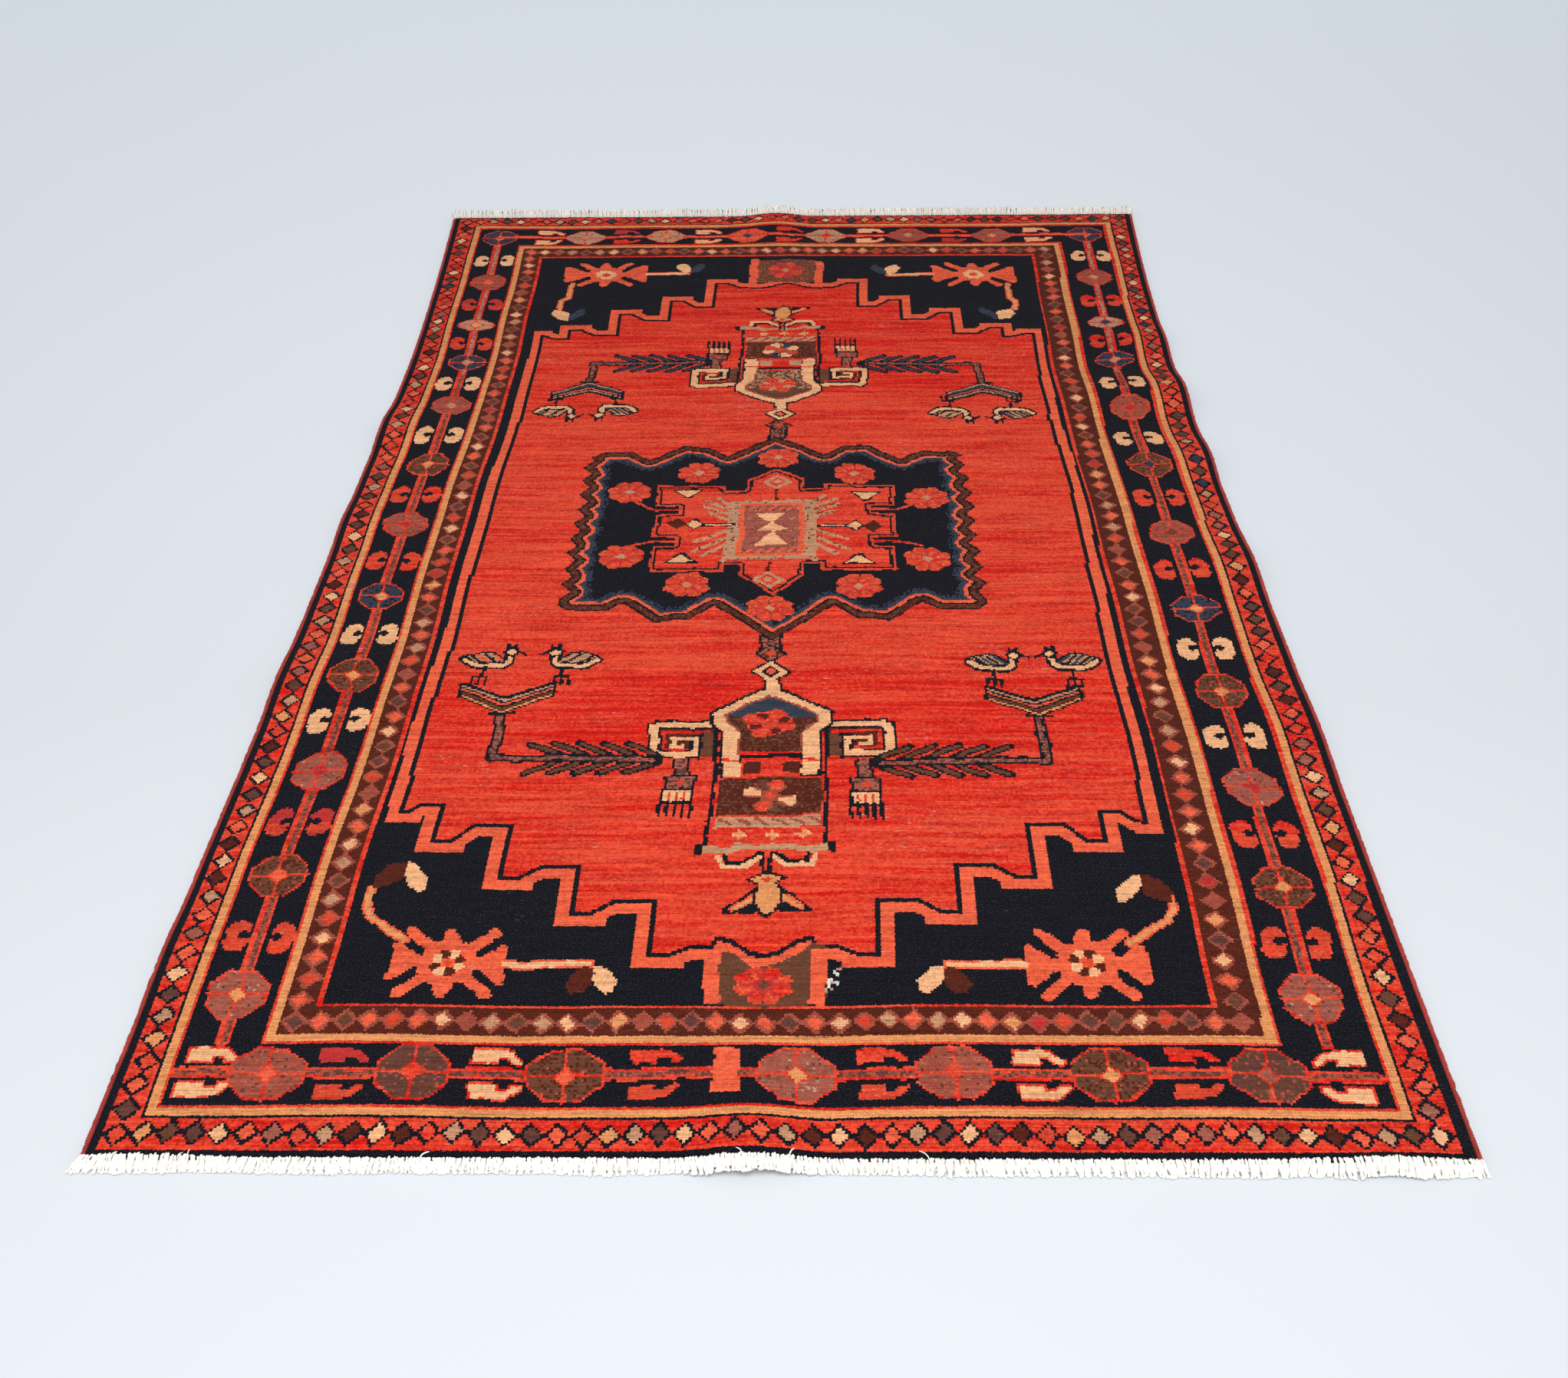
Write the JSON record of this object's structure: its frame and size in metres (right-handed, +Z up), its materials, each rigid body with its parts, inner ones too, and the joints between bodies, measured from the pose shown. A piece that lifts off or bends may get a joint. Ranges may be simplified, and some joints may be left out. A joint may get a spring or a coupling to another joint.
{
  "type": "oriental rug",
  "caption": "Flat hand-knotted wool floor rug with a centre medallion, stepped corners, flowered borders, yarn-bound sides and short cotton fringes.",
  "frame": {"origin": "on the floor under the middle of the rug", "axes": "+Y along the rug's length towards the far fringe, +X to its right, +Z up out of the pile"},
  "size_m": [1.4, 2.2766, 0.0235],
  "materials": {
    "wool_pile": "short cut wool pile, softly lustrous, mainly red and navy",
    "edge_yarn": "rose-red wool yarn wound over the edge",
    "fringe_cotton": "matt off-white cotton"
  },
  "bodies": {
    "root": {"pile_sheet": "wool_pile", "edge_binding_left": "edge_yarn", "edge_binding_right": "edge_yarn", "fringe_near": "fringe_cotton", "fringe_far": "fringe_cotton"}
  },
  "joints": []
}
